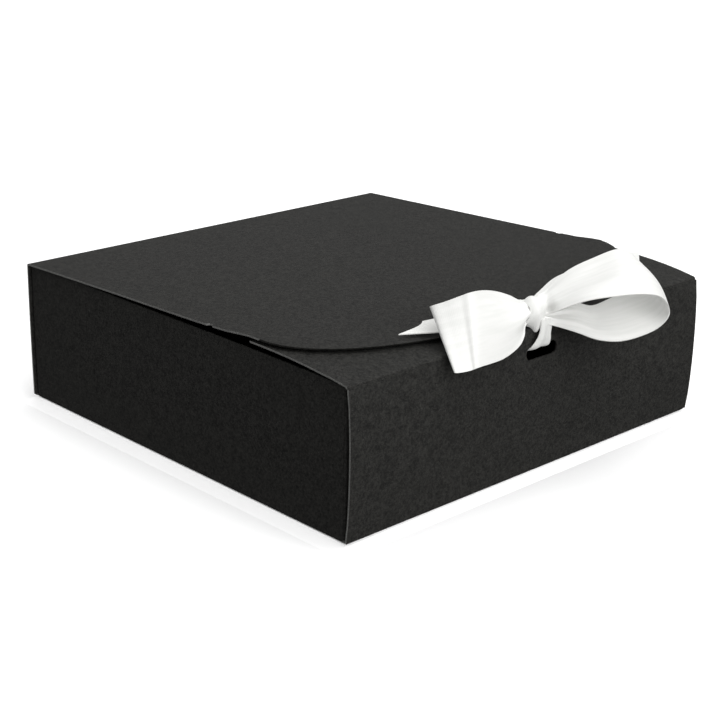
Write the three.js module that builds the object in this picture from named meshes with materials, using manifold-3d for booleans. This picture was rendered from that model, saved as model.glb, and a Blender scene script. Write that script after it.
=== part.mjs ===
// A folding card gift box, closed and tied with a satin ribbon bow.
// Millimetres, +Z up. The origin is the centre of the base's underside, +X runs along the
// front wall to the right, +Y to the back. One die-cut card is modelled panel by panel: each
// panel is a separate solid that ends a small gap short of the crease it shares with the next.

import * as THREE from 'three';
import { mergeVertices } from 'three/addons/utils/BufferGeometryUtils.js';
import Module from 'manifold-3d';

const wasm = await Module();
wasm.setup();

// ---------------------------------------------------------------- driving sizes

const boxWidth = 165;          // outside, along X
const boxDepth = 162;          // outside, along Y
const wallHeight = 49;         // outside, from the floor to the top creases

const cardThickness = 0.6;
const creaseGap = 0.3;         // clearance where two panels meet or lie on each other
const sideInset = 0.8;         // side walls stand this far in from the ends of the front wall

const wingLength = 38;         // the tuck-in wings at both ends of each side wall
const wingTaper = 8;           // how much lower a wing is at its free end
const wingTopClearance = 0.7;  // wing below the side wall's top edge
const wingFootClearance = 0.6; // wing above the side wall's foot

const flapDepth = 42;          // front flap, crease to free edge
const flapRise = 3.1;          // the flap's crown above the top crease
const flapShoulder = 15;       // how far back the flap goes on rising steeply

const lidStraight = 121;       // straight length of the lid's sides, from the back crease
const lidSetback = 4.3;        // the lid's foremost point stops this far behind the front face
const lidCornerPull = 26;      // handles of the curve that rounds the lid's front
const lidFrontPull = 40.8;

const slotLength = 14.7;       // ribbon slots, rounded at both ends
const slotHeight = 4.3;
const slotCentreX = 0.8;
const frontSlotDrop = 8.1;     // centre of the front slot below the top crease
const lidSlotSetback = 12;     // centre of the lid slot behind the front face

const ribbonWidth = 25;
const ribbonBulk = 1.2;        // thickness that stands in for soft folded satin
const ribbonClearance = 0.6;   // ribbon to card
const strandWidth = 8;         // the ribbon bunched up where it passes a slot

const knotWidth = 9;           // along X
const knotDepth = 8;           // along Y
const knotHeight = 9;
const knotSetback = 1.5;       // centre of the knot behind the front face
const knotCentreX = -2.5;      // the knot sits a little to the left of the slots
const throatHeight = 3.2;      // a loop where it leaves the knot
const throatWidth = 9;

// thin and full: how far the loop stands to the lid's side and to the open side of its plane
const leftLoop = { length: 43.5, thin: 3.2, full: 5.5 };
const rightLoop = { length: 49, thin: 5.5, full: 12 };

const tailWidth = 12;
const tailFrontSetback = 8;    // the tails' front edge where it leaves the knot
const leftTail = { length: 42, turnBack: 2 };
const rightTail = { length: 60, turnBack: 4 };

// ---------------------------------------------------------------- values worked out

const frontY = -boxDepth / 2;
const backY = boxDepth / 2;
const halfWidth = boxWidth / 2;
const sideX = halfWidth - sideInset;                          // outer face of a side wall
const sideHalfLength = boxDepth / 2 - cardThickness - creaseGap;
const wallFoot = cardThickness + creaseGap;                   // where a wall begins above the floor
const wallTop = wallHeight - cardThickness - creaseGap;
const flapCrown = wallHeight + flapRise;
const flapEdgeY = frontY + flapDepth;
const lidLift = creaseGap + cardThickness;                    // lid's outer face above the flap's
const lidFrontY = frontY + lidSetback;
const lidSlotY = frontY + lidSlotSetback;
const frontSlotZ = wallHeight - frontSlotDrop;
const knotCentre = new THREE.Vector3(
  knotCentreX,
  frontY + knotSetback,
  wallHeight + lidLift + ribbonClearance + knotHeight / 2,
);
const loopStart = knotWidth / 2 + ribbonClearance;

// ---------------------------------------------------------------- materials

const cardMaterial = new THREE.MeshStandardMaterial({ color: 0x2b2b2b, roughness: 0.85, metalness: 0 });
const satinMaterial = new THREE.MeshStandardMaterial({ color: 0xf4f4f0, roughness: 0.35, metalness: 0 });

// ---------------------------------------------------------------- helpers

const X = new THREE.Vector3(1, 0, 0);
const Y = new THREE.Vector3(0, 1, 0);
const Z = new THREE.Vector3(0, 0, 1);
const beyond = boxWidth + boxDepth + wallHeight;              // longer than anything it cuts

/** A closed geometry as a solid that can be cut. */
function toSolid(geometry) {
  geometry.deleteAttribute('normal');
  geometry.deleteAttribute('uv');
  const merged = mergeVertices(geometry);
  return new wasm.Manifold(new wasm.Mesh({
    numProp: 3,
    vertProperties: new Float32Array(merged.attributes.position.array),
    triVerts: new Uint32Array(merged.index.array),
  }));
}

/** A cut solid as a geometry again. */
function toGeometry(solid) {
  const mesh = solid.getMesh();
  const geometry = new THREE.BufferGeometry();
  geometry.setAttribute('position', new THREE.BufferAttribute(mesh.vertProperties, 3));
  geometry.setIndex(new THREE.BufferAttribute(mesh.triVerts, 1));
  geometry.computeVertexNormals();
  return geometry;
}

/** Extrudes a shape drawn on the axes `across` and `up` along their normal, across x up. */
function extrude(shape, across, up, from, to, curveSegments = 12) {
  const along = new THREE.Vector3().crossVectors(across, up);
  const geometry = new THREE.ExtrudeGeometry(shape, {
    depth: to - from, bevelEnabled: false, curveSegments,
  });
  geometry.translate(0, 0, from);
  return geometry.applyMatrix4(new THREE.Matrix4().makeBasis(across, up, along));
}

function polygon(points) {
  return new THREE.Shape(points.map(([a, b]) => new THREE.Vector2(a, b)));
}

function rectangle(a0, b0, a1, b1) {
  return polygon([[a0, b0], [a1, b0], [a1, b1], [a0, b1]]);
}

/** A slot outline with round ends, centred on (a, b); `path` is an empty Path or Shape. */
function drawSlot(path, a, b) {
  const radius = slotHeight / 2;
  const reach = slotLength / 2 - radius;
  path.absarc(a + reach, b, radius, -Math.PI / 2, Math.PI / 2, false);
  path.absarc(a - reach, b, radius, Math.PI / 2, Math.PI * 1.5, false);
  path.closePath();
  return path;
}

/** The outline of a strip of the given thickness whose middle runs through `points`. */
function stripOutline(points, thickness) {
  const middle = points.map(([a, b]) => new THREE.Vector2(a, b));
  const sideways = (from, to) => {
    const step = to.clone().sub(from).normalize();
    return new THREE.Vector2(-step.y, step.x);
  };
  const offsets = middle.map((point, index) => {
    const before = index > 0 ? sideways(middle[index - 1], point) : sideways(point, middle[1]);
    const after = index < middle.length - 1 ? sideways(point, middle[index + 1]) : before;
    const mitre = before.clone().add(after).normalize();
    return mitre.multiplyScalar(thickness / 2 / mitre.dot(before));
  });
  const left = middle.map((point, index) => point.clone().add(offsets[index]));
  const right = middle.map((point, index) => point.clone().sub(offsets[index]));
  return new THREE.Shape([...left, ...right.reverse()]);
}

// ---------------------------------------------------------------- base, walls and wings

function basePanel() {
  const halfX = sideX - creaseGap;
  const halfY = boxDepth / 2 - creaseGap;
  return extrude(rectangle(-halfX, -halfY, halfX, halfY), X, Y, 0, cardThickness);
}

/** The front (end = -1) or back (end = +1) wall; drawn on X and Z, so it extrudes along -Y. */
function crossWall(end, slot) {
  const outline = rectangle(-halfWidth, wallFoot, halfWidth, wallTop);
  if (slot) outline.holes.push(slot);
  const faces = [-end * backY, -end * (backY - cardThickness)];
  return extrude(outline, X, Z, Math.min(...faces), Math.max(...faces));
}

function frontWall() {
  return crossWall(-1, drawSlot(new THREE.Path(), slotCentreX, frontSlotZ));
}

/** The left (side = -1) or right (side = +1) wall. */
function sideWall(side) {
  const outline = rectangle(-sideHalfLength, wallFoot, sideHalfLength, wallTop);
  const faces = [side * sideX, side * (sideX - cardThickness)];
  return extrude(outline, Y, Z, Math.min(...faces), Math.max(...faces));
}

/** The wing of one side wall that tucks in behind the front (end = -1) or back (end = +1). */
function tuckWing(side, end) {
  const hinge = side * (sideX - cardThickness - creaseGap);
  const free = hinge - side * wingLength;
  const foot = wallFoot + wingFootClearance;
  const top = wallTop - wingTopClearance;
  const outline = polygon([
    [hinge, foot], [hinge, top], [free, top - wingTaper], [free, foot + wingTaper / 2],
  ]);
  const faces = [-end * sideHalfLength, -end * (sideHalfLength - cardThickness)];
  return extrude(outline, X, Z, Math.min(...faces), Math.max(...faces));
}

// ---------------------------------------------------------------- front flap and lid

const crown = new THREE.QuadraticBezierCurve(
  new THREE.Vector2(frontY + creaseGap, wallHeight),
  new THREE.Vector2(frontY + flapShoulder, flapCrown),
  new THREE.Vector2(flapEdgeY, flapCrown),
);

/** Points [y, z] over the flap's crowned outer face, lifted square to it. */
function crownLine(lift, steps = 14) {
  return Array.from({ length: steps + 1 }, (_, step) => {
    const at = crown.getPoint(step / steps);
    const along = crown.getTangent(step / steps);
    return [at.x - along.y * lift, at.y + along.x * lift];
  });
}

function slotCutter() {
  const slot = drawSlot(new THREE.Shape(), slotCentreX, lidSlotY);
  return toSolid(extrude(slot, X, Y, wallFoot, beyond));
}

function frontFlap() {
  const profile = polygon([...crownLine(-cardThickness), ...crownLine(0).reverse()]);
  const sheet = toSolid(extrude(profile, Y, Z, -halfWidth, halfWidth));
  return toGeometry(sheet.subtract(slotCutter()));
}

/** The lid from above: straight sides, then a curve from each side that meets at the front. */
function lidPlan() {
  const hinge = backY - creaseGap;
  const rounding = backY - lidStraight;
  const plan = new THREE.Shape();
  plan.moveTo(halfWidth, hinge);
  plan.lineTo(-halfWidth, hinge);
  plan.lineTo(-halfWidth, rounding);
  plan.bezierCurveTo(-halfWidth, rounding - lidCornerPull, -lidFrontPull, lidFrontY, 0, lidFrontY);
  plan.bezierCurveTo(lidFrontPull, lidFrontY, halfWidth, rounding - lidCornerPull, halfWidth, rounding);
  return plan;
}

/** The lid runs straight from the back crease to the flap, then bends down over its crown. */
function lidPanel() {
  const hinge = backY - creaseGap;
  const inner = [...crownLine(creaseGap), [hinge, wallHeight - cardThickness]];
  const outer = [...crownLine(lidLift), [hinge, wallHeight]];
  const profile = polygon([...inner, ...outer.reverse()]);
  const sheet = toSolid(extrude(profile, Y, Z, -boxWidth, boxWidth));
  const plan = toSolid(extrude(lidPlan(), X, Y, wallFoot, beyond, 24));
  return toGeometry(sheet.intersect(plan).subtract(slotCutter()));
}

// ---------------------------------------------------------------- ribbon and bow

function heightOn(line, y) {
  const next = line.findIndex(([lineY]) => lineY > y);
  const [y0, z0] = line[next - 1];
  const [y1, z1] = line[next];
  return z0 + (z1 - z0) * (y - y0) / (y1 - y0);
}

function bowKnot() {
  const geometry = new THREE.SphereGeometry(1, 20, 14);
  geometry.scale(knotWidth / 2, knotDepth / 2, knotHeight / 2);
  return geometry.translate(knotCentre.x, knotCentre.y, knotCentre.z);
}

/** A loop seen edge-on: a drop whose point is at the knot; `inset` draws its inner line. */
function drawDrop(path, size, inset) {
  const tip = throatHeight / 2 - inset;
  const low = inset - size.thin;
  const high = size.full - inset;
  const belly = size.length * 0.5;
  const shoulder = size.length * 0.8;
  path.moveTo(loopStart + inset, -tip);
  path.bezierCurveTo(belly, -tip, belly, low, shoulder, low);
  path.bezierCurveTo(size.length - inset, low, size.length - inset, high, shoulder, high);
  path.bezierCurveTo(belly, high, belly, tip, loopStart + inset, tip);
  path.closePath();
  return path;
}

/** A loop seen flat: gathered at the knot, of full ribbon width from there on. */
function loopPlan(size) {
  const flared = loopStart + ribbonWidth / 2;
  const past = size.length + 1;
  const half = ribbonWidth / 2;
  return polygon([
    [loopStart - 1, -throatWidth / 2], [flared, -half], [past, -half],
    [past, half], [flared, half], [loopStart - 1, throatWidth / 2],
  ]);
}

/** An open band that leaves the knot along `out` with the ribbon's width along `across`. */
function bowLoop(size, out, across) {
  out.normalize();
  const normal = new THREE.Vector3().crossVectors(across, out).normalize();
  const width = new THREE.Vector3().crossVectors(out, normal);
  const drop = drawDrop(new THREE.Shape(), size, 0);
  drop.holes.push(drawDrop(new THREE.Path(), size, ribbonBulk));
  const band = toSolid(extrude(drop, out, normal, -ribbonWidth / 2, ribbonWidth / 2));
  const plan = toSolid(extrude(loopPlan(size), out, width, -beyond, beyond));
  return toGeometry(band.intersect(plan)).translate(knotCentre.x, knotCentre.y, knotCentre.z);
}

/** A tail that lies over the lid beside the knot, on the left (side = -1) or right. */
function bowTail(size, side) {
  const front = frontY + tailFrontSetback;
  const rear = front + tailWidth + size.turnBack;
  const under = heightOn(crownLine(lidLift, 40), rear) + ribbonClearance;
  const outline = polygon([
    [side * loopStart, front], [side * (loopStart + size.length), front + size.turnBack],
    [side * (loopStart + size.length), rear], [side * loopStart, front + throatWidth],
  ]);
  return extrude(outline, X, Y, under, under + ribbonBulk);
}

function strand(points) {
  const outline = stripOutline(points, ribbonBulk);
  const from = slotCentreX - strandWidth / 2;
  return extrude(outline, Y, Z, from, from + strandWidth);
}

/** From under the knot down the front, in through the front slot and up to the flap's slot. */
function frontStrand() {
  const outside = frontY - ribbonClearance - ribbonBulk / 2;
  const inside = frontY + cardThickness + ribbonClearance + ribbonBulk / 2;
  const passing = frontSlotZ + (slotHeight - ribbonBulk) / 4;
  const flapInside = heightOn(crownLine(-cardThickness, 40), lidSlotY);
  return strand([
    [outside, knotCentre.z - knotHeight / 2 - creaseGap],
    [outside, passing],
    [inside, passing],
    [lidSlotY - ribbonBulk, flapInside - ribbonClearance - ribbonBulk * 1.5],
  ]);
}

/** From behind the knot over the lid's front and down through the lid and flap slots. */
function lidStrand() {
  const over = heightOn(crownLine(lidLift, 40), lidSlotY) + ribbonClearance + ribbonBulk / 2;
  const flapInside = heightOn(crownLine(-cardThickness, 40), lidSlotY);
  return strand([
    [knotCentre.y + knotDepth / 2 + creaseGap, over],
    [lidSlotY, over],
    [lidSlotY, flapInside - creaseGap],
  ]);
}

// ---------------------------------------------------------------- the assembly

const giftBox = new THREE.Group();

function place(name, geometry, material) {
  const mesh = new THREE.Mesh(geometry, material.clone());
  mesh.name = name;
  giftBox.add(mesh);
}

place('base_panel', basePanel(), cardMaterial);
place('back_wall', crossWall(1), cardMaterial);
place('front_wall', frontWall(), cardMaterial);
for (const [sideName, side] of [['left', -1], ['right', 1]]) {
  place(`${sideName}_wall`, sideWall(side), cardMaterial);
  for (const [endName, end] of [['front', -1], ['back', 1]]) {
    place(`${endName}_${sideName}_wing`, tuckWing(side, end), cardMaterial);
  }
}
place('front_flap', frontFlap(), cardMaterial);
place('lid_panel', lidPanel(), cardMaterial);

place('bow_knot', bowKnot(), satinMaterial);
place('left_loop', bowLoop(leftLoop, new THREE.Vector3(-1, -0.07, 0), new THREE.Vector3(0, 1, 0.98)),
  satinMaterial);
place('right_loop', bowLoop(rightLoop, new THREE.Vector3(0.95, -0.31, 0), new THREE.Vector3(-0.3, -0.91, -0.28)),
  satinMaterial);
place('left_tail', bowTail(leftTail, -1), satinMaterial);
place('right_tail', bowTail(rightTail, 1), satinMaterial);
place('front_strand', frontStrand(), satinMaterial);
place('lid_strand', lidStrand(), satinMaterial);

export default giftBox;
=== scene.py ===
# %% [markdown]
# # A folding gift box in black card, tied with a white satin bow
# The box is one die-cut blank: a base, four walls, four corner wings, a tuck flap and a lid, all
# bent along pressed creases. A satin ribbon goes through slots in the front wall, the flap and
# the lid, and is tied in a bow on the front edge. Here every panel is its own thin sheet, every
# crease is a bent strip between two panels, and the bow is lofted from lengths of ribbon.

# %% Load the frame
import bpy
import bmesh
import math
import numpy as np
from mathutils import Matrix, Vector
from mathutils.geometry import delaunay_2d_cdt


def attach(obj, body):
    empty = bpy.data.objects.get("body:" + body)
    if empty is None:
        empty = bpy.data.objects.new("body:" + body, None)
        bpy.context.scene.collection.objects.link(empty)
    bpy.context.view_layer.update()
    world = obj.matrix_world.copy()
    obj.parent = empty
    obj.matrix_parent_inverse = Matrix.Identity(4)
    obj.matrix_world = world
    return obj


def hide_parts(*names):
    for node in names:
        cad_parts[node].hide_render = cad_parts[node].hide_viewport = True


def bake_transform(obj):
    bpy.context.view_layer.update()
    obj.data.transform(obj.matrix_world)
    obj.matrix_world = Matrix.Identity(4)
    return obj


MM = 0.001   # this script's shapes are drawn in millimetres
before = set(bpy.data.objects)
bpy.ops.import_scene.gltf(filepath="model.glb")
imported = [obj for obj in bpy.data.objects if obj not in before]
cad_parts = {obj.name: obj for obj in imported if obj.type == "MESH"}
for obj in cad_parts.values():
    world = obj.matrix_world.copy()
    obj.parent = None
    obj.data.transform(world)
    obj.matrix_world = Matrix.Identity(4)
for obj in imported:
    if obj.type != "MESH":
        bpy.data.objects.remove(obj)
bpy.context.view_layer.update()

# %% [markdown]
# ## Camera
# A small box looks best from half a metre or so away through a fairly long lens, so that its far
# edges hardly shrink. The camera is placed by its three axes, because a slight roll is easier to
# give that way than with angles.

# %% Camera
camera = bpy.data.objects.new("Camera", bpy.data.cameras.new("Camera"))
bpy.context.scene.collection.objects.link(camera)
camera_axes = [(0.72327, -0.69035, 0.01711), (0.21826, 0.25204, 0.94278), (-0.65516, -0.67816, 0.33297)]
camera.matrix_world = Matrix.LocRotScale(
    Vector((-0.3660, -0.3793, 0.2022)),
    Matrix(camera_axes).transposed().to_quaternion(),
    None,
)
camera.data.lens = 79.24
camera.data.sensor_width = 36
camera.data.clip_start = 0.01
bpy.context.scene.camera = camera
print("distance to the bow:", round((camera.location - Vector((0, -0.08, 0.055))).length, 3), "m")

# %% [markdown]
# ## The box's sizes
# The card is one blank, so a few sizes give every panel. Each panel stops a little short of its
# crease's corner, and the side walls stand in from the ends of the front wall, so that the front
# wall covers the folded corner. The slots in the front wall, flap and lid are all alike.

# %% Sizes of the box in millimetres
half_width, half_depth, wall_height = 82.5, 81.0, 49.0
card_thickness = 0.6
crease_reach = 0.9                          # from a panel's end to its crease's corner
side_x = 81.7                               # outer face of a side wall
panel_end = 80.1                            # where the base, flap and lid stop
side_half_run = 79.2                        # half the length of a side wall
wall_top = wall_height - crease_reach
slot_centre, slot_length, slot_height = 0.8, 14.7, 4.3
print("closed box:", 2 * half_width, "x", 2 * half_depth, "x", wall_height, "mm")

# %% [markdown]
# ## Surroundings
# Black card only shows its form through how bright each face is: the lid is lightest, the front a
# little darker and the left side darkest. The surroundings are brighter above than below, which
# keeps the shadows open and still leaves the side walls dark.

# %% Surroundings
scene = bpy.context.scene
scene.view_settings.view_transform = "Standard"
world = bpy.data.worlds.new("Studio")
world.use_nodes = True
sky, nodes = world.node_tree.nodes["Background"], world.node_tree.nodes
sky.inputs["Color"].default_value = (1, 1, 1, 1)
direction, height = nodes.new("ShaderNodeTexCoord"), nodes.new("ShaderNodeSeparateXYZ")
glow = nodes.new("ShaderNodeMapRange")
for key, value in (("From Min", -0.25), ("From Max", 0.9), ("To Min", 0.12), ("To Max", 0.62)):
    glow.inputs[key].default_value = value
link = world.node_tree.links.new
link(direction.outputs["Generated"], height.inputs[0])
link(height.outputs["Z"], glow.inputs["Value"])
link(glow.outputs[0], sky.inputs["Strength"])
scene.world = world
print("glow from", glow.inputs["To Min"].default_value, "below to", glow.inputs["To Max"].default_value)

# %% [markdown]
# ## Floor
# The box stands on a white board. Its walls bow out a little, and would sink into a level board
# when they are folded down flat, so the board drops by two millimetres just outside the base. It
# throws no light back on the card, because white so close by would turn the walls' feet grey.

# %% Floor
floor_drop, floor_reach = -2.2, 4000.0
rings = [(81.5, 80.0, -0.1), (86.0, 84.5, floor_drop), (floor_reach, floor_reach, floor_drop)]
corners, faces = [], [(0, 1, 2, 3)]
for x, y, z in rings:
    corners += [Vector(p) * MM for p in ((-x, -y, z), (x, -y, z), (x, y, z), (-x, y, z))]
for first in (0, 4):
    for i in range(4):
        after = (i + 1) % 4
        faces.append((first + i, first + 4 + i, first + 4 + after, first + after))
floor_mesh = bpy.data.meshes.new("floor")
floor_mesh.from_pydata(corners, [], faces)
floor = bpy.data.objects.new("floor", floor_mesh)
scene.collection.objects.link(floor)
floor.visible_diffuse = floor.visible_glossy = False
print("floor faces:", len(faces))

# %% [markdown]
# ## Lights
# Three wide, distant lights do the rest: the strongest is in front and gives the front wall and
# the bow, one overhead gives the lid, and a weak one behind keeps the back from going black.


# %% Soft lights
def soft_sun(name, direction, strength, spread):
    """A distant light that shines from direction, with soft shadows."""
    light = bpy.data.objects.new(name, bpy.data.lights.new(name, "SUN"))
    light.data.energy, light.data.angle = strength, math.radians(spread)
    light.rotation_euler = Vector(direction).to_track_quat("Z", "Y").to_euler()
    scene.collection.objects.link(light)


soft_sun("front", (-0.08, -1.0, 0.18), 3.2, 75)
soft_sun("overhead", (0.05, -0.20, 1.0), 1.62, 60)
soft_sun("back_fill", (-0.25, 1.0, 1.3), 0.3, 50)

# %% [markdown]
# ## Writing finishes as sums
# A node material is a sum of masks and noises. One small class wraps an output socket, so that
# `1 - mask * 0.3` adds the Math nodes by itself, and one method adds any other node: first its
# settings, then the values or links of its sockets.


# %% Sockets that can be added and multiplied
class Wire:
    """An output socket. Arithmetic on it adds Math nodes."""

    def __init__(self, finish, socket):
        self.finish, self.socket = finish, socket

    def combine(self, operation, first, second):
        return self.finish.add("ShaderNodeMath", {"operation": operation}, {0: first, 1: second})

    def __add__(self, other):
        return self.combine("ADD", self, other)

    def __sub__(self, other):
        return self.combine("SUBTRACT", self, other)

    def __rsub__(self, other):
        return self.combine("SUBTRACT", other, self)

    def __mul__(self, other):
        return self.combine("MULTIPLY", self, other)

    __radd__ = __add__
    __rmul__ = __mul__


class Finish:
    """A material whose nodes are added one at a time."""

    def __init__(self, name):
        self.material = bpy.data.materials.new(name)
        self.material.use_nodes = True
        self.tree = self.material.node_tree
        self.shader = self.tree.nodes["Principled BSDF"]

    def connect(self, socket, value):
        if isinstance(value, Wire):
            self.tree.links.new(value.socket, socket)
        else:
            socket.default_value = value

    def add(self, kind, settings=None, sockets=None, out=0):
        """Adds a node, sets it up, fills its sockets and gives its output as a Wire."""
        node = self.tree.nodes.new(kind)
        for key, value in (settings or {}).items():
            setattr(node, key, value)
        for key, value in (sockets or {}).items():
            if isinstance(key, str):
                key = next(i for i, s in enumerate(node.inputs) if key in (s.identifier, s.name))
            self.connect(node.inputs[key], value)
        if isinstance(out, str):
            out = next(i for i, s in enumerate(node.outputs) if out in (s.identifier, s.name))
        return Wire(self, node.outputs[out])

    def noise(self, where, scale, detail, roughness):
        """Cloudy noise from 0 to 1; scale is how many clouds there are in a metre."""
        return self.add(
            "ShaderNodeTexNoise",
            {},
            {"Vector": where, "Scale": scale, "Detail": detail, "Roughness": roughness},
            "Fac",
        )

    def stretch(self, where, scale):
        """Coordinates multiplied axis by axis."""
        return self.add("ShaderNodeVectorMath", {"operation": "MULTIPLY"}, {0: where, 1: scale})

    def blend(self, first, second, factor):
        """A colour from first to second as factor goes from 0 to 1."""
        return self.add(
            "ShaderNodeMix",
            {"data_type": "RGBA"},
            {"Factor_Float": factor, "A_Color": first, "B_Color": second},
            "Result_Color",
        )

    def band(self, value, low, high):
        """0 below low, 1 above high, and smooth between."""
        return self.add(
            "ShaderNodeMapRange",
            {"interpolation_type": "SMOOTHSTEP"},
            {"Value": value, "From Min": low, "From Max": high},
        )

    def surface(self, **sockets):
        """Sets or links sockets of the shader, named with _ for each space."""
        for key, value in sockets.items():
            self.connect(self.shader.inputs[key.replace("_", " ")], value)

    def bump(self, height, distance, strength):
        """Raises the surface by height times distance, in metres."""
        bumped = self.add(
            "ShaderNodeBump", {}, {"Height": height, "Distance": distance, "Strength": strength}
        )
        self.connect(self.shader.inputs["Normal"], bumped)


print("shader helpers ready")

# %% [markdown]
# ## Floor finish
# A sheet of matt white board. It has the faintest tooth, so it isn't a bare flat colour, and a
# faint glow keeps it an even white all round the box.

# %% Floor finish
board = Finish("white_board")
spot = board.add("ShaderNodeTexCoord", out="Object")
tooth = board.noise(spot, 900, 3, 0.5)
board.surface(
    Base_Color=board.blend((0.93, 0.93, 0.93, 1), (0.96, 0.96, 0.96, 1), tooth),
    Roughness=0.9,
    Specular_IOR_Level=0.2,
    Emission_Color=(1.0, 1.0, 1.0, 1.0),
    Emission_Strength=0.10,
)
floor_mesh.materials.append(board.material)
print("floor finish:", board.material.name)

# %% [markdown]
# ## Black card
# The card is dyed through and has no coating, so its face is matt, with short fibres that lie
# every way, a soft cloudiness from the pulp, and a few pale fibre ends. The fibres are a fine
# noise and the cloudiness a coarse one. The finer noises also raise the surface by about a tenth
# of a millimetre, which breaks up the highlight.

# %% Card face
card = Finish("black_card")
spot = card.add("ShaderNodeTexCoord", out="Object")
cloud = card.noise(spot, 420, 3, 0.6)
pulp = card.noise(spot, 1100, 4, 0.65)
fibre = card.noise(card.stretch(spot, (1.0, 3.0, 2.0)), 2600, 2, 0.6)
ends = card.band(card.noise(spot, 3300, 1, 0.4), 0.70, 0.76)
tone = 0.5 + (cloud - 0.5) * 0.35 + (pulp - 0.5) * 0.9 + (fibre - 0.5) * 0.85
deep_black, worn_black, pale_fibre = (
    (0.0065, 0.0065, 0.0062, 1),
    (0.0312, 0.0307, 0.0284, 1),
    (0.075, 0.075, 0.072, 1),
)
face = card.blend(deep_black, worn_black, card.band(tone, 0.25, 0.75))
card.surface(
    Base_Color=card.blend(face, pale_fibre, ends * 0.6),
    Roughness=0.60 + (pulp - 0.5) * 0.18,
    Specular_IOR_Level=0.12,
)
card.bump(pulp * 0.7 + fibre * 0.6 + ends * 0.3, 0.14 * MM, 0.7)
print("card face:", len(card.tree.nodes), "nodes")

# %% [markdown]
# ## Cut edge of the card
# A steel rule cuts the blank and leaves the edge paler than the face, because the torn fibres
# scatter the light. Its colour is raised well beyond that, as a painted highlight for the light
# that the cut edges catch. A fine noise gives their pale and dark ends.

# %% Card edge
edge = Finish("card_edge_highlit")
spot = edge.add("ShaderNodeTexCoord", out="Object")
torn = edge.noise(spot, 2600, 4, 0.7)
# Both colours are far paler than the face: partly the real pale cut, partly a painted highlight.
torn_dark_highlit, torn_pale_highlit = (0.09, 0.09, 0.087, 1), (0.20, 0.20, 0.192, 1)
edge.surface(
    Base_Color=edge.blend(torn_dark_highlit, torn_pale_highlit, edge.band(torn, 0.3, 0.7)),
    Roughness=0.8,
    Specular_IOR_Level=0.3,
)
edge.bump(torn, 0.08 * MM, 0.6)
print("cut edge:", len(edge.tree.nodes), "nodes")

# %% [markdown]
# ## Satin
# Satin hides its weft under long warp floats, so it shines in a soft streak across the ribbon and
# has hair-fine lines along it. Both edges end in a tighter woven selvage. The pattern follows the
# ribbon's own coordinates, across and along in metres, so folds carry it with them. A faint glow,
# painted light, stands for the light that comes through thin white cloth and lifts the shaded folds.

# %% Satin
ribbon_width = 25.0
satin = Finish("white_satin")
weave = satin.add("ShaderNodeUVMap", {"uv_map": "weave"})
floats = satin.noise(satin.stretch(weave, (9000.0, 700.0, 1.0)), 1.0, 3, 0.6)
slub = satin.noise(satin.stretch(weave, (500.0, 60.0, 1.0)), 1.0, 2, 0.5)
across = satin.add("ShaderNodeSeparateXYZ", {}, {0: weave}, "X")
along = satin.add("ShaderNodeSeparateXYZ", {}, {0: weave}, "Y")
middle = ribbon_width / 2 * MM
from_middle = satin.add("ShaderNodeMath", {"operation": "ABSOLUTE"}, {0: across - middle})
selvage = satin.band(from_middle, middle - 0.85 * MM, middle - 0.6 * MM)
weft_spacing = 0.45 * MM
weft = satin.add("ShaderNodeMath", {"operation": "SINE"}, {0: along * (2 * math.pi / weft_spacing)})
warp_shade, warp_shine, selvage_white = (
    (0.61, 0.615, 0.595, 1),
    (0.66, 0.66, 0.645, 1),
    (0.59, 0.59, 0.57, 1),
)
warp = satin.blend(warp_shade, warp_shine, satin.band(slub, 0.3, 0.7))
satin.surface(
    Base_Color=satin.blend(warp, selvage_white, selvage * 0.5),
    Roughness=0.40 + (floats - 0.5) * 0.2 + selvage * 0.12,
    Specular_IOR_Level=0.5,
    Sheen_Weight=0.25,
    Sheen_Roughness=0.4,
    Anisotropic=0.25,
    # Painted light: a faint glow that lifts the ribbon's shaded folds and insides.
    Emission_Color=(1.0, 1.0, 0.985, 1.0),
    Emission_Strength=0.13,
)
satin.bump(floats * 0.5 + slub * 0.6 + weft * 0.12 + selvage * 0.5, 0.05 * MM, 0.5)
print("finishes:", [m.name for m in bpy.data.materials])

# %% [markdown]
# ## Flat outlines
# Every panel is drawn flat first, in millimetres, as the die maker would draw it: a ring of
# corners with points along the straight sides, and slots with round ends.


# %% Drawing outlines
def along_sides(corners, step=6.0):
    """A polygon with points added along its sides."""
    points = []
    for (ax, ay), (bx, by) in zip(corners, corners[1:] + corners[:1]):
        parts = max(1, round(math.hypot(bx - ax, by - ay) / step))
        points += [(ax + (bx - ax) * i / parts, ay + (by - ay) * i / parts) for i in range(parts)]
    return points


def rectangle(low_u, low_v, high_u, high_v):
    """A rectangle with points along its sides."""
    return along_sides([(low_u, low_v), (high_u, low_v), (high_u, high_v), (low_u, high_v)])


def slot_outline(centre_v):
    """A ribbon slot with round ends."""
    straight, radius = (slot_length - slot_height) / 2, slot_height / 2
    points = []
    for side in (1, -1):
        for i in range(9):
            angle = math.radians(-90 * side + 180 * i / 8)
            u = slot_centre + side * straight + radius * math.cos(angle)
            points.append((u, centre_v + radius * math.sin(angle)))
    return points


def inside(point, ring):
    """Whether a flat point lies in a closed ring of points."""
    found = False
    for (ax, ay), (bx, by) in zip(ring, ring[1:] + ring[:1]):
        if (ay > point[1]) != (by > point[1]):
            if point[0] < (bx - ax) * (point[1] - ay) / (by - ay) + ax:
                found = not found
    return found


print("points round a slot:", len(slot_outline(0)))

# %% [markdown]
# ## Sheets of card
# A panel is a flat shape with a thickness: two faces and a cut edge round the outline and round
# any slot. The faces are triangulated with points inside them, so that a panel may bow a little,
# as card does, and `place` carries each flat point to the box. The cut edge swells a little.

# %% Making a sheet of card
rim_swell, rim_clearance = 0.05, 1.5


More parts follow.
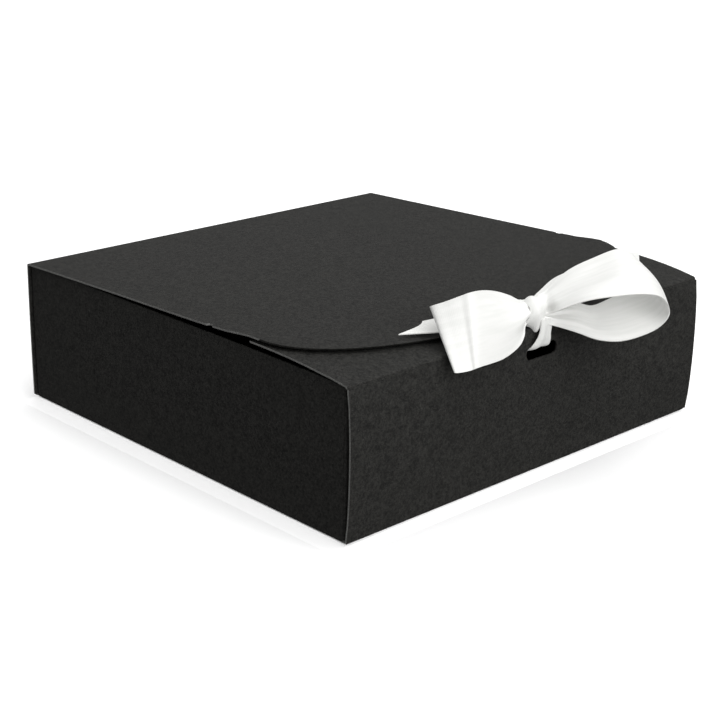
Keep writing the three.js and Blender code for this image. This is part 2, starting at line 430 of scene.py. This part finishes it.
def solid(name, points, faces, kinds, materials):
    """A smooth-shaded mesh object from points in millimetres, with sharp corners kept.
    kinds holds the number of each face's material."""
    mesh = bpy.data.meshes.new(name)
    mesh.from_pydata([Vector(p) * MM for p in points], [], faces)
    for material in materials:
        mesh.materials.append(material)
    mesh.polygons.foreach_set("material_index", kinds)
    shape = bmesh.new()
    shape.from_mesh(mesh)
    bmesh.ops.recalc_face_normals(shape, faces=shape.faces)
    shape.to_mesh(mesh)
    shape.free()
    mesh.shade_smooth()
    mesh.set_sharp_from_angle(angle=math.radians(40))
    made = bpy.data.objects.new(name, mesh)
    scene.collection.objects.link(made)
    return made


def flat_triangles(outline, slots, spacing):
    """The flat points and triangles of a panel, with the slots left open."""
    flat, borders = [], []
    for ring in (outline, *slots):
        first = len(flat)
        flat += [Vector(p) for p in ring]
        borders += [(first + i, first + (i + 1) % len(ring)) for i in range(len(ring))]
    cut = list(flat)

    def on_card(point):
        return inside(point, outline) and not any(inside(point, slot) for slot in slots)

    low = [min(p[i] for p in outline) for i in (0, 1)]
    high = [max(p[i] for p in outline) for i in (0, 1)]
    counts = [max(2, round((high[i] - low[i]) / spacing)) for i in (0, 1)]
    for i in range(1, counts[0]):
        for j in range(1, counts[1]):
            u = low[0] + (high[0] - low[0]) * i / counts[0]
            v = low[1] + (high[1] - low[1]) * j / counts[1]
            clear = min((Vector((u, v)) - q).length for q in cut) > rim_clearance
            if clear and on_card((u, v)):
                flat.append(Vector((u, v)))
    corners, _, triangles = delaunay_2d_cdt(flat, borders, [], 0, 1e-5)[:3]
    kept = [tuple(t) for t in triangles if on_card(sum((corners[i] for i in t), Vector((0, 0))) / 3)]
    return corners, kept


def card_sheet(name, outline, place, slots=(), spacing=7.0, pale=None):
    """A panel. place(u, v, depth) gives the point that lies depth below the outer face, and
    pale(u, v) tells where the cut edge gets the pale edge finish, partly a painted highlight."""
    corners, kept = flat_triangles(outline, slots, spacing)
    sides = {(t[i], t[(i + 1) % 3]) for t in kept for i in range(3)}
    rim = sorted(s for s in sides if (s[1], s[0]) not in sides)
    outward = {}
    for a, b in rim:
        along = (corners[b] - corners[a]).normalized()
        for end in (a, b):
            outward[end] = outward.get(end, Vector((0, 0))) + Vector((along.y, -along.x))
    count = len(corners)
    points = [place(p.x, p.y, depth) for depth in (0.0, card_thickness) for p in corners]
    middle_of = {}
    for i in sorted(outward):
        middle_of[i] = len(points)
        swell = corners[i] + outward[i].normalized() * rim_swell
        points.append(place(swell.x, swell.y, card_thickness / 2))
    faces = kept + [tuple(i + count for i in reversed(t)) for t in kept]
    kinds = [0] * len(faces)
    for a, b in rim:
        faces += [(b, a, middle_of[a], middle_of[b]), (middle_of[b], middle_of[a], a + count, b + count)]
        middle = (corners[a] + corners[b]) / 2
        # Cut edges that catch light get the pale edge finish, partly a painted highlight; the rest keep
        # the face colour.
        kinds += [1 if pale and pale(middle.x, middle.y) else 0] * 2
    made = solid(name, points, faces, kinds, [card.material, edge.material])
    return made


def highlit_ends(u, v):
    """The free ends of the front and back wall and of the flap, whose cut edges get a painted highlight.
    """
    return abs(u) > half_width - 0.1


print("card thickness:", card_thickness, "mm")

# %% [markdown]
# ## Base and walls
# The walls stand on the base. Card that has been folded and pressed by the ribbon never stays
# quite flat: the front wall bows out by nearly a millimetre in the middle and by nearly two at its
# free ends, and the others by less. The bow fades to nothing at the creases, where the next panel
# takes over. The side walls' top edges are free, and stand a little higher in the middle.


# %% Base and walls
def bow_out(height, along, half_length, amount):
    """How far a wall stands out of its plane at a point."""
    fade = 1 - 0.55 * (along / half_length) ** 2
    return amount * math.sin(math.pi * height / wall_height) * fade


def spring_out(height, along):
    """The front wall springs out most at its free ends, where nothing holds it."""
    end = (along / half_width) ** 2
    arch = max(0.0, math.sin(math.pi * height / wall_height)) ** (1 - 0.55 * end)
    return (0.85 + 0.95 * end) * arch


def arch_up(height, along):
    """The free top edge of a side wall stands a little higher than its ends."""
    return height + 0.75 * (height / wall_height) ** 4 * (1 - (along / half_depth) ** 6)


def front_face(x, z, depth):
    return (x, -half_depth - spring_out(z, x) + depth, z)


def back_face(x, z, depth):
    return (x, half_depth + bow_out(z, x, half_width, 0.5) - depth, z)


def left_face(y, z, depth):
    return (-side_x - bow_out(z, y, half_depth, 0.45) + depth, y, arch_up(z, y))


def right_face(y, z, depth):
    return (side_x + bow_out(z, y, half_depth, 0.45) - depth, y, arch_up(z, y))


def base_face(x, y, depth):
    return (x, y, depth)


base_end = side_x - crease_reach
base_outline = rectangle(-base_end, -panel_end, base_end, panel_end)
wide = rectangle(-half_width, crease_reach, half_width, wall_top)
short = rectangle(-side_half_run, crease_reach, side_half_run, wall_top)
front_slot = slot_outline(40.9)
panels = {
    "base_panel": (card_sheet("base_sheet", base_outline, base_face), "base"),
    "front_wall": (
        card_sheet("front_wall_sheet", wide, front_face, [front_slot], pale=highlit_ends),
        "front_wall",
    ),
    "back_wall": (card_sheet("back_wall_sheet", wide, back_face, pale=highlit_ends), "back_wall"),
    "left_wall": (card_sheet("left_wall_sheet", short, left_face), "left_wall"),
    "right_wall": (card_sheet("right_wall_sheet", short, right_face), "right_wall"),
}
print("base and walls:", ", ".join(panels))

# %% [markdown]
# ## Corner wings
# Each side wall carries a wing at both ends, folded in behind the front or back wall. It tapers
# towards its free end and its corners are rounded, so that it slides past the lid.


# %% Corner wings
def rounded(corners, radii):
    """A polygon whose corners are rounded by short arcs."""
    points = []
    for i, (corner, radius) in enumerate(zip(corners, radii)):
        here, before = Vector(corner), Vector(corners[i - 1])
        after = Vector(corners[(i + 1) % len(corners)])
        if not radius:
            points.append(corner)
            continue
        a = here + (before - here).normalized() * radius
        b = here + (after - here).normalized() * radius
        for k in range(6):
            t = k / 5
            p = a * (1 - t) ** 2 + here * 2 * t * (1 - t) + b * t**2
            points.append((p.x, p.y))
    return points


wing_tip = 38.3
wing = along_sides(
    rounded([(crease_reach, 1.5), (wing_tip, 5.5), (wing_tip, 39.4), (crease_reach, 47.4)], [0, 5, 8, 0]),
    5,
)


def wing_place(side, end):
    """Carries a flat wing to the left (-1) or right side and the front (-1) or back end."""
    return lambda u, v, depth: (side * (side_x - card_thickness - u), end * (panel_end - depth), v)


for side_word, side in (("left", -1), ("right", 1)):
    for end_word, end in (("front", -1), ("back", 1)):
        node = f"{end_word}_{side_word}_wing"
        panels[node] = (card_sheet(node + "_sheet", wing, wing_place(side, end)), node)
print("wings:", [n for n in panels if n.endswith("wing")])

# %% [markdown]
# ## Crown of the flap
# The front flap rises from the front crease in a soft crown, steep at first and level at its free
# edge. The crown's height and its distance from the front are both quadratics of one curve, so
# the height at a given distance comes from solving the second. The left side hangs a little.


# %% Front flap
flap_back, flap_rise = -39.0, 3.1
hinge_line = -80.7                          # where the flap's curve starts
steepness, stretching = 29.4, 12.3          # the curve goes steepness*t + stretching*t*t back


def ramp(value, low, high):
    """0 at low, 1 at high, straight between, and held beyond; low may be the greater."""
    return min(1.0, max(0.0, (value - low) / (high - low)))


def ease(t):
    """Turns a ramp's corners into soft ones."""
    return t * t * (3 - 2 * t)


def crown_height(y):
    """Height of the flap's outer face at a distance from the front."""
    if y >= flap_back:
        return wall_height + flap_rise
    root = math.sqrt(steepness**2 + 4 * stretching * (max(y, hinge_line) - hinge_line))
    t = (root - steepness) / (2 * stretching)
    return wall_height + flap_rise * (2 * t - t * t)


def droop(x, y):
    """The left sides of the flap and lid hang a little, most of all at the front."""
    toward_left = max(0.0, -x / half_width) ** 5
    return 0.5 * toward_left * ramp(y, 30, -10) * min(1.0, (y + half_depth) / 12)


def flap_face(x, y, depth):
    return (x, y, crown_height(y) - droop(x, y) - depth)


top_slot = slot_outline(-69.0)
flap_outline = rectangle(-half_width, -panel_end, half_width, flap_back)
panels["front_flap"] = (
    card_sheet("flap_sheet", flap_outline, flap_face, [top_slot], 5.0, highlit_ends),
    "front_flap",
)
print("flap's crown:", round(crown_height(flap_back) - wall_height, 1), "mm")

# %% [markdown]
# ## Lid
# The lid lies on the flap and takes its crown near the front, then falls to the back crease. Its
# front is cut in one long curve from side to side, and each side edge has a small nick. The cut
# front edge is pressed under, and springs up a little except where the ribbon holds it down.


# %% Lid
lid_front = -76.7
lid_gap = 0.9                               # the lid's outer face above the flap's
lid_crown = wall_height + flap_rise + lid_gap
corner_right, corner_left = -35, -43.5      # where the straight sides end
front_sweep = 36.7                          # how far the front edge falls back at the sides
pressed_strip = 14.0                        # how far from that edge the card is pressed down


def lid_face(x, y, depth):
    if y < flap_back:
        height = crown_height(y) + lid_gap
    else:
        height = lid_crown - (lid_crown - wall_height) * (y - flap_back) / (-hinge_line - flap_back)
    waviness = math.sin(x / 31 + 0.7) * math.sin((y + 20) / 27)
    ripple = 0.12 * waviness * ramp(y, -60, -35) * ramp(y, 70, 40)
    front = lid_front + front_sweep * min(1.0, abs(x) / half_width) ** 4
    near_edge = ramp(y, front + pressed_strip, front)
    off_ribbon = ramp(abs(x), 9, 29)
    lift = 0.75 * ease(near_edge) * ease(off_ribbon)
    undercut = 0.9 * depth * near_edge
    return (x, y + undercut, height + ripple + lift - droop(x, y) - depth)


def curve_points(a, b, c, d, count=18):
    """Points on a cubic from a to d, without the last."""
    a, b, c, d = map(Vector, (a, b, c, d))
    points = []
    for i in range(count):
        t = i / count
        p = a * (1 - t) ** 3 + b * 3 * t * (1 - t) ** 2 + c * 3 * t * t * (1 - t) + d * t**3
        points.append((p.x, p.y))
    return points


nick = [(0, -21.5), (-0.9, -20.6), (-0.9, -19.2), (0, -18.3)]
side_points = [*range(-12, 69, 8), 75]
lid_outline = (
    curve_points((0, lid_front), (40.8, lid_front), (half_width, -62), (half_width, corner_right))
    + [(half_width, y) for y in (corner_right, -28)]
    + [(half_width + inward, y) for inward, y in nick]
    + [(half_width, y) for y in side_points]
    + [(half_width - 2 * half_width * i / 24, panel_end) for i in range(25)]
    + [(-half_width, y) for y in reversed(side_points)]
    + [(-half_width - inward, y) for inward, y in reversed(nick)]
    + [(-half_width, y) for y in (-28, -34, -39)]
    + curve_points((-half_width, corner_left), (-half_width, -69), (-40.8, lid_front), (0, lid_front))
)


def highlit_lid_sides(u, v):
    """The lid's long sides, whose cut edge gets a painted highlight; its front edge is pressed under and
    keeps the dark face colour as painted shade.
    """
    return -45 < v < 80


panels["lid_panel"] = (
    card_sheet("lid_sheet", lid_outline, lid_face, [top_slot], 5.0, highlit_lid_sides),
    "lid",
)
for node, (piece, body) in panels.items():
    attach(piece, body)
    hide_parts(node)
print("panels:", len(panels))

# %% [markdown]
# ## Creases
# Along a crease the card is crushed and bent round a small radius, so the outer face turns in an
# arc while the inner face meets at a line. Each crease is a narrow strip of its own that joins two
# panels.


# %% Bent strips between panels
def crease_strip(name, first, corner, second, along, reach_first, reach_second):
    """A strip from panel first to panel second, each given as (outer, inner) points at its middle.
    corner is where the two outer faces would meet; reach is how far it goes to each side."""
    outer_a, inner_a = map(Vector, first)
    outer_b, inner_b = map(Vector, second)
    corner, along = Vector(corner), Vector(along)
    turns, parts = 8, 30
    points, faces, kinds = [], [], []
    for i in range(turns + 1):
        t = i / turns
        outer = outer_a * (1 - t) ** 2 + corner * 2 * t * (1 - t) + outer_b * t**2
        inner = inner_a.lerp(inner_b, t)
        low = reach_first[0] + (reach_second[0] - reach_first[0]) * t
        high = reach_first[1] + (reach_second[1] - reach_first[1]) * t
        for p in (outer, inner):
            points += [p + along * (low + (high - low) * k / parts) for k in range(parts + 1)]

    def at(i, layer, k):
        return (2 * i + layer) * (parts + 1) + k

    for i in range(turns):
        for k in range(parts):
            for layer in (0, 1):
                here, there = at(i, layer, k), at(i + 1, layer, k)
                faces.append((here, here + 1, there + 1, there))
                kinds.append(0)
        for k in (0, parts):
            faces.append((at(i, 0, k), at(i + 1, 0, k), at(i + 1, 1, k), at(i, 1, k)))
            kinds.append(1)
    for i in (0, turns):
        for k in range(parts):
            faces.append((at(i, 0, k), at(i, 0, k + 1), at(i, 1, k + 1), at(i, 1, k)))
            kinds.append(0)
    made = solid(name, points, faces, kinds, [card.material, edge.material])
    inner_b * MM
    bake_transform(made)


def both_ways(reach):
    return (-reach, reach)


across_x, across_y, upright = (1, 0, 0), (0, 1, 0), (0, 0, 1)
print("a crease reaches", crease_reach, "mm to each side")

# %% [markdown]
# ## Creases round the base
# The four walls fold up from the base. Each strip runs from the base's edge, round the corner and
# up to the wall's foot.

# %% Creases round the base
inner_depth, inner_side = half_depth - card_thickness, side_x - card_thickness
for word, end in (("front", -1), ("back", 1)):
    crease_strip(
        f"base_{word}_crease",
        ((0, end * panel_end, 0), (0, end * panel_end, card_thickness)),
        (0, end * half_depth, 0),
        ((0, end * half_depth, crease_reach), (0, end * inner_depth, crease_reach)),
        across_x, both_ways(base_end), both_ways(half_width),
    )
for word, side in (("left", -1), ("right", 1)):
    crease_strip(
        f"base_{word}_crease",
        ((side * base_end, 0, 0), (side * base_end, 0, card_thickness)),
        (side * side_x, 0, 0),
        ((side * side_x, 0, crease_reach), (side * inner_side, 0, crease_reach)),
        across_y, both_ways(panel_end), both_ways(side_half_run),
    )
print("inner faces meet", inner_depth, "and", inner_side, "mm from the middle")

# %% [markdown]
# ## Creases of the flap and the lid
# The flap's crease turns the front wall's top edge back over the box, and the lid's does the same
# at the back. Both meet their panel at the height that its own curve has there.

# %% Flap crease and lid crease
flap_start = crown_height(-panel_end)
crease_strip(
    "flap_crease",
    ((0, -half_depth, wall_top), (0, -inner_depth, wall_top)),
    (0, -half_depth, wall_height - 0.02),
    ((0, -panel_end, flap_start), (0, -panel_end, flap_start - card_thickness)),
    across_x, both_ways(half_width), both_ways(half_width),
)
lid_end = lid_face(0, panel_end, 0)[2]
crease_strip(
    "lid_crease",
    ((0, half_depth, wall_top), (0, inner_depth, wall_top)),
    (0, half_depth, wall_height),
    ((0, panel_end, lid_end), (0, panel_end, lid_end - card_thickness)),
    across_x, both_ways(half_width), both_ways(half_width),
)
print("heights where flap and lid start:", round(flap_start, 2), round(lid_end, 2), "mm")

# %% [markdown]
# ## Corner creases
# At each corner the side wall turns into its wing. These four strips stand upright, and are a
# little shorter on the wing's side, where the wing begins to taper.

# %% Corner creases
middle_z = 24.45                            # the strips are measured up and down from here
side_reach, wing_reach = (-23.5, 23.6), both_ways(22.9)
wing_start = inner_side - crease_reach
for word, side in (("left", -1), ("right", 1)):
    for end_word, end in (("front", -1), ("back", 1)):
        wing_outer, wing_inner = end * panel_end, end * (panel_end - card_thickness)
        crease_strip(
            f"{end_word}_{word}_crease",
            (
                (side * side_x, end * side_half_run, middle_z),
                (side * inner_side, end * side_half_run, middle_z),
            ),
            (side * side_x, wing_outer, middle_z),
            ((side * wing_start, wing_outer, middle_z), (side * wing_start, wing_inner, middle_z)),
            upright, side_reach, wing_reach,
        )

# %% [markdown]
# ## Thin cloth
# Satin ribbon is only a few tenths of a millimetre thick. Its cloth is a grid of points through
# the middle of the thickness, which gets two faces and a rim all round, so that it is closed. It
# carries its own coordinates, across and along the ribbon, for the weave to follow.

# %% Making cloth
cloth_thickness = 0.3


def cloth(name, middle, across_mm, along_mm, body, node):
    """A closed thin cloth from a grid of points (rows along the ribbon, columns across)."""
    rows, columns = middle.shape[:2]
    slope_v, slope_u = np.gradient(middle, axis=0), np.gradient(middle, axis=1)
    normal = np.cross(slope_u, slope_v)
    normal /= np.maximum(np.linalg.norm(normal, axis=2, keepdims=True), 1e-9)
    layers = [middle + normal * cloth_thickness / 2, middle - normal * cloth_thickness / 2]
    points = np.concatenate([layer.reshape(-1, 3) for layer in layers])
    count, faces = rows * columns, []

    def at(layer, i, j):
        return layer * count + i * columns + j

    for i in range(rows - 1):
        for j in range(columns - 1):
            faces.append((at(0, i, j), at(0, i, j + 1), at(0, i + 1, j + 1), at(0, i + 1, j)))
            faces.append((at(1, i + 1, j), at(1, i + 1, j + 1), at(1, i, j + 1), at(1, i, j)))
    for i in range(rows - 1):
        for j, turn in ((0, 1), (columns - 1, -1)):
            rim = (at(0, i, j), at(0, i + 1, j), at(1, i + 1, j), at(1, i, j))
            faces.append(rim[::turn])
    for j in range(columns - 1):
        for i, turn in ((0, -1), (rows - 1, 1)):
            rim = (at(0, i, j), at(0, i, j + 1), at(1, i, j + 1), at(1, i, j))
            faces.append(rim[::turn])
    made = solid(name, points, faces, [0] * len(faces), [satin.material])
    weave_layer = made.data.uv_layers.new(name="weave")
    coordinates = np.tile(np.stack([across_mm, along_mm], axis=2).reshape(-1, 2), (2, 1)) * MM
    picks = np.zeros(len(made.data.loops), int)
    made.data.loops.foreach_get("vertex_index", picks)
    weave_layer.data.foreach_set("uv", coordinates[picks].astype(np.float32).ravel())
    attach(made, body)
    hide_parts(node)
    return made


print("cloth thickness:", cloth_thickness, "mm")

# %% [markdown]
# ## Lengths of ribbon
# Each part of the bow is one length of the same 25 mm ribbon, so it is lofted from stations: each
# gives a point on both edges, and smooth curves run through them. Where the knot squeezes the ribbon its
# edges come together, and the width that is left over stands up in pleats, which die out a
# little way from the knot.


# %% Lofting a ribbon
def through(points, steps=8):
    """Points on a smooth curve through the given ones."""
    points = [np.array(p, float) for p in points]
    ends = [2 * points[0] - points[1], *points, 2 * points[-1] - points[-2]]
    curve = []
    for a, b, c, d in zip(ends, ends[1:], ends[2:], ends[3:]):
        for i in range(steps):
            t = i / steps
            bend = (2 * a - 5 * b + 4 * c - d) * t * t + (3 * b - a - 3 * c + d) * t**3
            curve.append(0.5 * (2 * b + (c - a) * t + bend))
    curve.append(points[-1])
    return np.array(curve)


def ribbon(name, stations, body, node, folds, columns=40, notch=0.0):
    """A length of ribbon through stations of (one edge, other edge).
    folds(across, along, length) gives how far it slides across and how far it stands off its
    plane, across from 0 to 1. notch is how deep the middle of its end is cut back."""
    edges = [through([s[i] for s in stations]) for i in (0, 1)]
    centre = (edges[0] + edges[1]) / 2
    along = np.concatenate([[0], np.cumsum(np.linalg.norm(np.diff(centre, axis=0), axis=1))])
    forward = np.gradient(centre, axis=0)
    width = edges[1] - edges[0]
    lift = np.cross(width, forward)
    lift /= np.linalg.norm(lift, axis=1, keepdims=True)
    share = np.linspace(0, 1, columns)
    grid_u, grid_v = np.meshgrid(share, along)
    slide, height = folds(grid_u, grid_v, along[-1])
    middle = edges[0][:, None] + width[:, None] * (grid_u + slide)[..., None]
    middle += lift[:, None] * height[..., None]
    forward /= np.linalg.norm(forward, axis=1, keepdims=True)
    back = notch * np.sin(np.pi * (grid_u + slide)) * (grid_v / along[-1]) ** 8
    middle -= forward[:, None] * back[..., None]
    made = cloth(name, middle, grid_u * ribbon_width, grid_v, body, node)
    print(f"{name}: {along[-1]:.0f} mm long")


def wave(turns):
    """A cosine that repeats at every whole turn."""
    return np.cos(2 * np.pi * turns)


def bell(distance, spread, power=2.0):
    """1 at no distance, dying out past the spread."""
    return np.exp(-((distance / spread) ** power))


def pleats(across, distance, count, height, fade, phase=0.0):
    """Pleats that die out at a distance from the knot."""
    coarse, fine = wave(count * across + phase), wave(2.3 * count * across + 2 * phase)
    return height * bell(distance, fade, 1.5) * (coarse + 0.35 * fine)


print("ribbon width:", ribbon_width, "mm")

# %% [markdown]
# ## Left loop
# The left loop lies almost flat against the front edge. Its front layer comes out of the knot,
# turns at a soft ridge and folds back at the end, and the back layer returns behind it. Besides
# the pleats at both ends, the front layer is hollow in its middle.

# %% Left loop
left_stations = [
    ((-1.8, -78.6, 58.0), (-2.2, -81.0, 52.4)),
    ((-6.5, -78.7, 58.5), (-7.4, -82.2, 51.1)),
    ((-11.5, -78.6, 60.8), (-10.2, -83.8, 48.6)),
    ((-18.6, -79.0, 63.4), (-15.2, -85.5, 46.6)),
    ((-26.7, -80.5, 65.7), (-24.7, -87.5, 45.5)),
    ((-33.1, -81.5, 66.7), (-36.9, -89.3, 46.3)),
    ((-36.2, -79.6, 65.6), (-39.6, -88.5, 45.7)),
    ((-39.5, -77.0, 64.0), (-42.4, -87.4, 45.4)),
    ((-42.2, -73.8, 62.4), (-44.5, -86.4, 45.5)),
    ((-38.9, -71.5, 61.2), (-42.3, -84.6, 45.7)),
    ((-29.6, -69.5, 60.4), (-38.1, -84.2, 46.7)),
    ((-21.1, -71.0, 61.0), (-29.3, -83.7, 48.2)),
    ((-12.0, -74.0, 59.8), (-17.9, -82.4, 50.2)),
    ((-5.5, -76.0, 57.2), (-8.4, -80.0, 52.0)),
    ((-1.8, -77.0, 56.8), (-2.8, -79.5, 53.4)),
]


def left_folds(across, along, length):
    gathered = pleats(across, along, 1, 1.5, 11) - pleats(across, length - along, 1, 1.6, 11)
    hollow = 0.9 * np.sin(np.pi * across) * bell(along - 22, 12)
    return 0 * across, gathered - hollow


ribbon("left_loop_ribbon", left_stations, "lid", "left_loop", left_folds)

# %% [markdown]
# ## Right loop
# The right loop stands open towards the front: one sees the outside of its upper band, then the
# shaded inside of its lower band, and a dark gap between them near the knot. Its upper band has
# a slight ripple, and the turn at its end is rounded out.

# %% Right loop
right_stations = [
    ((-2.4, -78.4, 58.0), (-2.6, -81.2, 53.0)),
    ((3.6, -77.5, 58.2), (2.3, -82.5, 53.0)),
    ((9.5, -76.5, 59.7), (0.1, -89.0, 56.4)),
    ((17.7, -76.5, 62.4), (2.4, -95.5, 59.7)),
    ((25.4, -79.0, 65.2), (9.7, -99.0, 60.5)),
    ((32.7, -83.0, 68.2), (17.8, -101.8, 60.6)),
    ((37.5, -85.0, 67.0), (25.2, -103.5, 59.5)),
    ((40.1, -86.5, 64.3), (30.8, -104.0, 57.3)),
    ((42.5, -87.5, 60.5), (34.8, -104.0, 53.2)),
    ((42.3, -88.0, 56.3), (35.0, -103.5, 49.4)),
    ((36.9, -87.0, 54.7), (30.1, -102.0, 46.1)),
    ((28.5, -86.0, 53.5), (19.1, -99.5, 44.7)),
    ((20.8, -84.5, 52.2), (11.0, -96.0, 45.8)),
    ((13.4, -83.0, 54.5), (6.3, -90.5, 48.0)),
    ((6.8, -80.0, 53.5), (2.7, -85.0, 49.6)),
    ((-1.0, -79.0, 53.8), (-1.2, -81.8, 51.0)),
]


def right_folds(across, along, length):
    gathered = pleats(across, length - along, 2, 0.7, 13, 0.1) - pleats(across, along, 1, 0.7, 12)
    ripple = 0.45 * np.sin(2 * np.pi * across + along / 9) * bell(along - 24, 14)
    rounding = 1.4 * np.sin(np.pi * across) * bell(along - 0.5 * length, 9)
    return 0 * across, gathered + ripple + rounding


ribbon("right_loop_ribbon", right_stations, "lid", "right_loop", right_folds)

# %% [markdown]
# ## Tails
# The two ends of the ribbon lie back over the lid, mostly behind the loops. Each is folded in half
# lengthwise by the pull of the knot and cut at a slant, the left one with a small notch.

# %% Tails
left_tail_stations = [
    ((-3.0, -75.0, 56.2), (-3.0, -80.0, 54.0)),
    ((-10.0, -70.6, 55.8), (-11.5, -78.8, 53.6)),
    ((-20.0, -66.4, 55.0), (-24.5, -77.6, 53.3)),
    ((-30.0, -66.0, 54.0), (-38.0, -73.2, 53.1)),
    ((-37.0, -65.4, 53.7), (-49.5, -67.6, 53.4)),
]
right_tail_stations = [
    ((1.0, -76.0, 56.2), (1.0, -79.5, 54.6)),
    ((8.0, -73.0, 56.4), (8.0, -78.5, 54.9)),
    ((22.0, -68.0, 56.8), (19.0, -77.5, 55.4)),
    ((42.0, -64.0, 56.6), (39.0, -75.5, 55.4)),
    ((58.0, -62.5, 56.5), (55.0, -73.0, 55.8)),
    ((69.0, -66.2, 56.5), (61.0, -72.5, 56.2)),
]


def tail_folds(across, along, length):
    """Folded in half lengthwise, so that the cloth goes out to the far edge and back."""
    slide = 1 - np.abs(2 * across - 1) ** 1.15 - across
    apart, flutter = 0.6 * np.sin(np.pi * (across - 0.5)), 0.15 * np.sin(along / 4 + 3 * across)
    return slide, apart + flutter


ribbon("left_tail_ribbon", left_tail_stations, "lid", "left_tail", tail_folds, notch=2.5)
ribbon("right_tail_ribbon", right_tail_stations, "lid", "right_tail", tail_folds)

# %% [markdown]
# ## Strands through the slots
# Below the knot the gathered ribbon drops down the front and goes in through the slot. Behind the
# knot the other strand goes down through the lid and the flap. The slots are narrower than the
# ribbon, so both strands are folded in three.

# %% Strands
front_stations = [
    ((-2.6, -82.9, 52.0), (2.4, -82.9, 51.6)),
    ((-2.6, -82.9, 50.0), (2.6, -82.9, 49.3)),
    ((-2.9, -82.8, 47.6), (2.4, -82.8, 46.8)),
    ((-4.1, -82.5, 45.3), (2.9, -82.5, 44.7)),
    ((-5.6, -81.6, 43.1), (3.1, -81.6, 42.7)),
    ((-4.4, -78.6, 42.2), (3.6, -78.6, 42.1)),
    ((-3.4, -75.0, 44.6), (3.8, -75.0, 44.6)),
    ((-3.0, -71.5, 47.4), (3.8, -71.5, 47.4)),
]
lid_stations = [
    ((-2.2, -76.6, 55.6), (3.6, -76.6, 55.6)),
    ((-2.4, -73.8, 54.4), (3.8, -73.8, 54.4)),
    ((-2.6, -71.0, 53.4), (4.2, -71.0, 53.4)),
    ((-2.8, -69.4, 51.8), (4.4, -69.4, 51.8)),
    ((-2.6, -69.0, 48.6), (4.2, -69.0, 48.6)),
]


def strand_folds(across, along, length):
    """Folded in three, with the two hidden layers a little narrower than the front one."""
    tuck = 1 - 0.3 * np.clip(3 * across - 1, 0, 1)
    slide = 0.5 - 0.5 * tuck * np.cos(3 * np.pi * across) - across
    return slide, 1.3 * (across - 0.5) + 0.15 * wave((across + slide) * 1.5)


ribbon("front_strand_ribbon", front_stations, "front_wall", "front_strand", strand_folds, 60)
ribbon("lid_strand_ribbon", lid_stations, "lid", "lid_strand", strand_folds, 60)

# %% [markdown]
# ## Knot
# The knot is the same ribbon, folded in three, wrapped once round the others and pulled tight. It
# is a short barrel of cloth with pleats that run round it a little askew. Its ends curl in to meet
# the loops, and it sags a little at the lower front, where the strand comes out.

# %% Knot
knot_x, knot_y, knot_z = -2.8, -79.9, 54.2
knot_half_width, knot_half_depth, knot_half_height = 3.5, 3.5, 4.7
knot_wrap = 27.0                            # length of ribbon that goes once round
angle = np.linspace(0, 2 * np.pi, 73)[:, None]
layer = np.linspace(0, 1, 90)[None, :]

# share runs from one end of the barrel to the other and back as layer crosses the ribbon
share = -(1 - 0.12 * np.clip(3 * layer - 1, 0, 1)) * np.cos(3 * np.pi * layer)
curl = 1 - 0.45 * np.abs(share) ** 4
askew = wave(0.8 * share + 0.30 * np.sin(angle + 0.6) + 0.1)
askew = askew + 0.4 * wave(1.9 * share - 0.35 * np.cos(angle))
radius = curl + 0.055 * askew * (1 - share**4) - 0.22 * layer
sag = 2.4 * bell(angle - 5.2, 0.55) * bell(share - 0.35, 0.6)
ring = np.stack(
    [
        knot_x + knot_half_width * share + 0.5 * np.sin(angle),
        knot_y - knot_half_depth * radius * np.cos(angle),
        knot_z + knot_half_height * radius * np.sin(angle) - sag,
    ],
    axis=2,
)
across_mm = layer * ribbon_width + 0 * angle
along_mm = angle / (2 * np.pi) * knot_wrap + 0 * layer
knot = cloth("knot_ribbon", ring, across_mm, along_mm, "lid", "bow_knot")
print("knot:", 2 * knot_half_width, "mm wide and", 2 * knot_half_height, "mm high")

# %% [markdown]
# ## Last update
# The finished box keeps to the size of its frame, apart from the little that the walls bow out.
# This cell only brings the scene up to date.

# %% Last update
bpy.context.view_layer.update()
